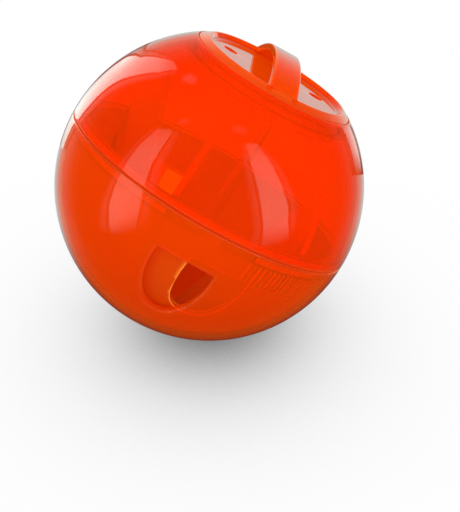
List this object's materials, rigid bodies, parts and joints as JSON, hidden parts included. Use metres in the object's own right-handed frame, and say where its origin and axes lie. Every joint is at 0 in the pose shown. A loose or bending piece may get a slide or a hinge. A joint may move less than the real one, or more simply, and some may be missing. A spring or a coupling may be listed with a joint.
{
  "type": "treat dispensing ball",
  "caption": "Hollow ball for dry pet treats: two outer halves around a turning food bowl, with openings that the turn sets, and a plug-in fill cap with a bridging handle.",
  "frame": {"origin": "centre of the ball, in the plane of the seam between its halves", "axes": "+Z along the axis that the halves turn about, out through the handle; the handle runs along Y; the first dispensing opening faces -Y, 4.5 degrees towards -X"},
  "size_m": [0.076, 0.076, 0.076],
  "materials": {
    "shell": "clear orange-red moulded plastic, polished",
    "bowl": "clear orange-red moulded plastic, polished",
    "cap": "clear orange-red moulded plastic, polished"
  },
  "bodies": {
    "base": {"lower_shell": "shell"},
    "top": {"upper_shell": "shell", "food_bowl": "bowl"},
    "cap": {"fill_cap": "cap"}
  },
  "joints": [
    {"name": "turn_to_open", "type": "hinge", "parent": "base", "child": "top", "pos_m": [0, 0, 0], "axis": [0, 0, -1], "range_deg": [-15.5, 14.5]},
    {"name": "cap_lift", "type": "slide", "parent": "top", "child": "cap", "axis": [0, 0, 1], "range_m": [0, 0.03]}
  ]
}
